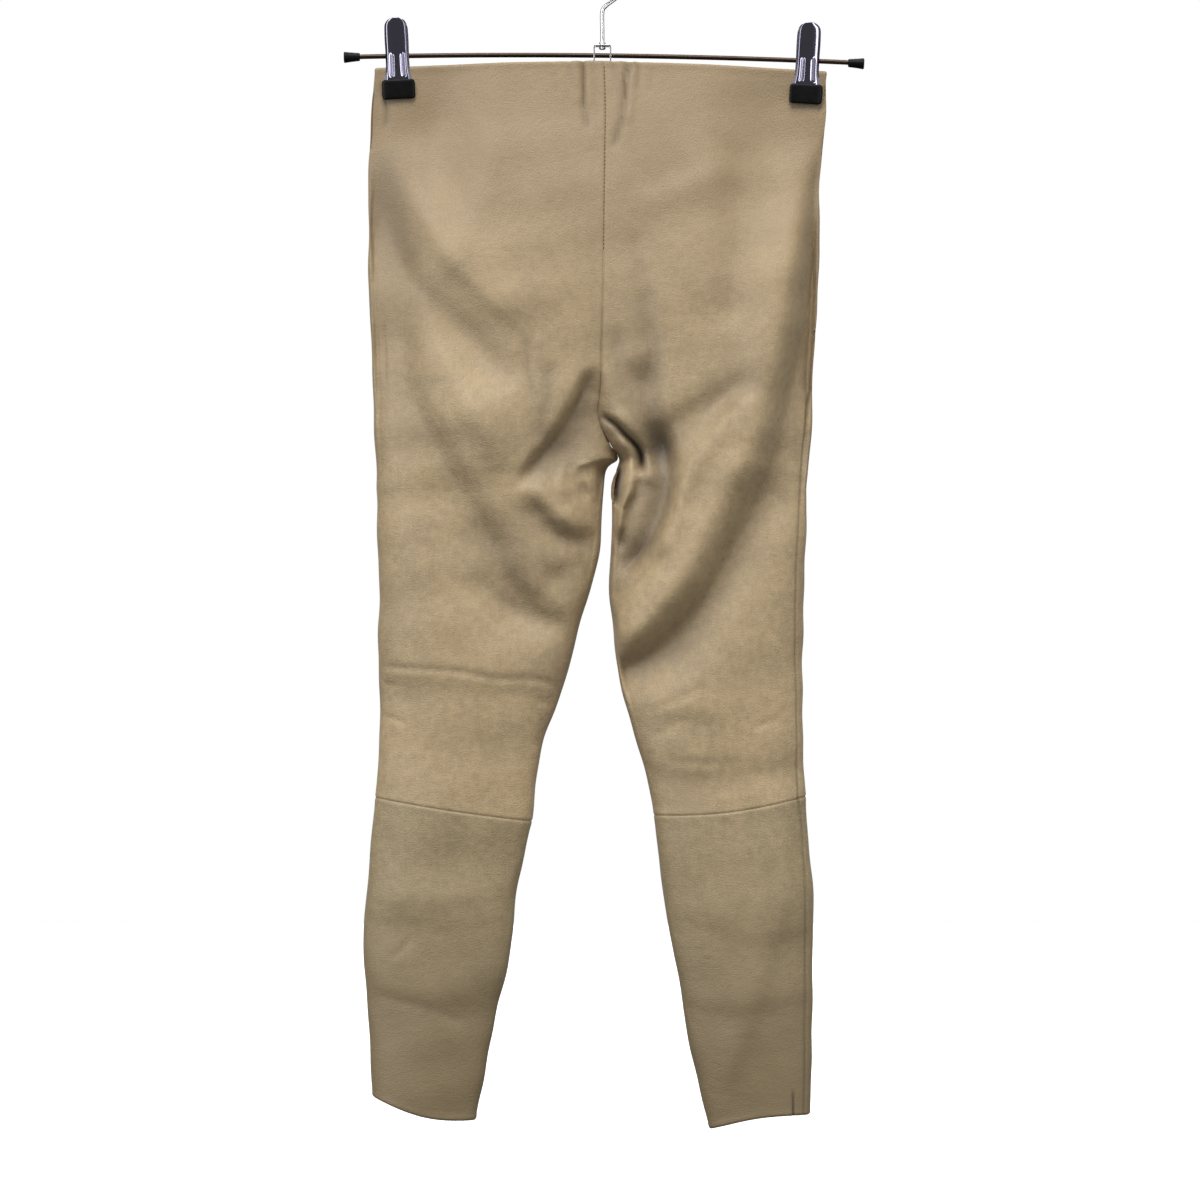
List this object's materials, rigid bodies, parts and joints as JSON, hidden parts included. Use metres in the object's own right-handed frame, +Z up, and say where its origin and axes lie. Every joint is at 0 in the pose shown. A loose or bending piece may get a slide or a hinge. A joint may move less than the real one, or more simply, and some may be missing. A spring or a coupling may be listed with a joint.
{
  "type": "leather trousers on a clip hanger",
  "caption": "Plain beige leather trousers with slim legs and knee seams, hung flat by the waist from a steel hanger with clips.",
  "frame": {"origin": "inside top of the hanger's hook, where it bears on a rail", "axes": "+Z up, +X to the right as one looks at the back of the trousers, the back faces -Y and the front faces +Y"},
  "size_m": [0.4685, 0.0918, 1.0552],
  "materials": {
    "leather": "soft matte nappa",
    "bar_steel": "dark satin",
    "clip_chrome": "bright, lightly handled",
    "rubber": "matte black"
  },
  "bodies": {
    "root": {"back_left_thigh": "leather", "back_left_calf": "leather", "front_left_thigh": "leather", "front_left_calf": "leather", "back_right_thigh": "leather", "back_right_calf": "leather", "front_right_thigh": "leather", "front_right_calf": "leather", "hanger_bar": "bar_steel", "bar_cap_left": "rubber", "bar_cap_right": "rubber", "hook_bracket": "bar_steel", "hook_wire": "clip_chrome", "clip_left_near_jaw": "clip_chrome", "clip_left_far_jaw": "clip_chrome", "clip_left_near_pad": "rubber", "clip_left_far_pad": "rubber", "clip_left_spring": "bar_steel", "clip_right_near_jaw": "clip_chrome", "clip_right_far_jaw": "clip_chrome", "clip_right_near_pad": "rubber", "clip_right_far_pad": "rubber", "clip_right_spring": "bar_steel"}
  },
  "joints": []
}
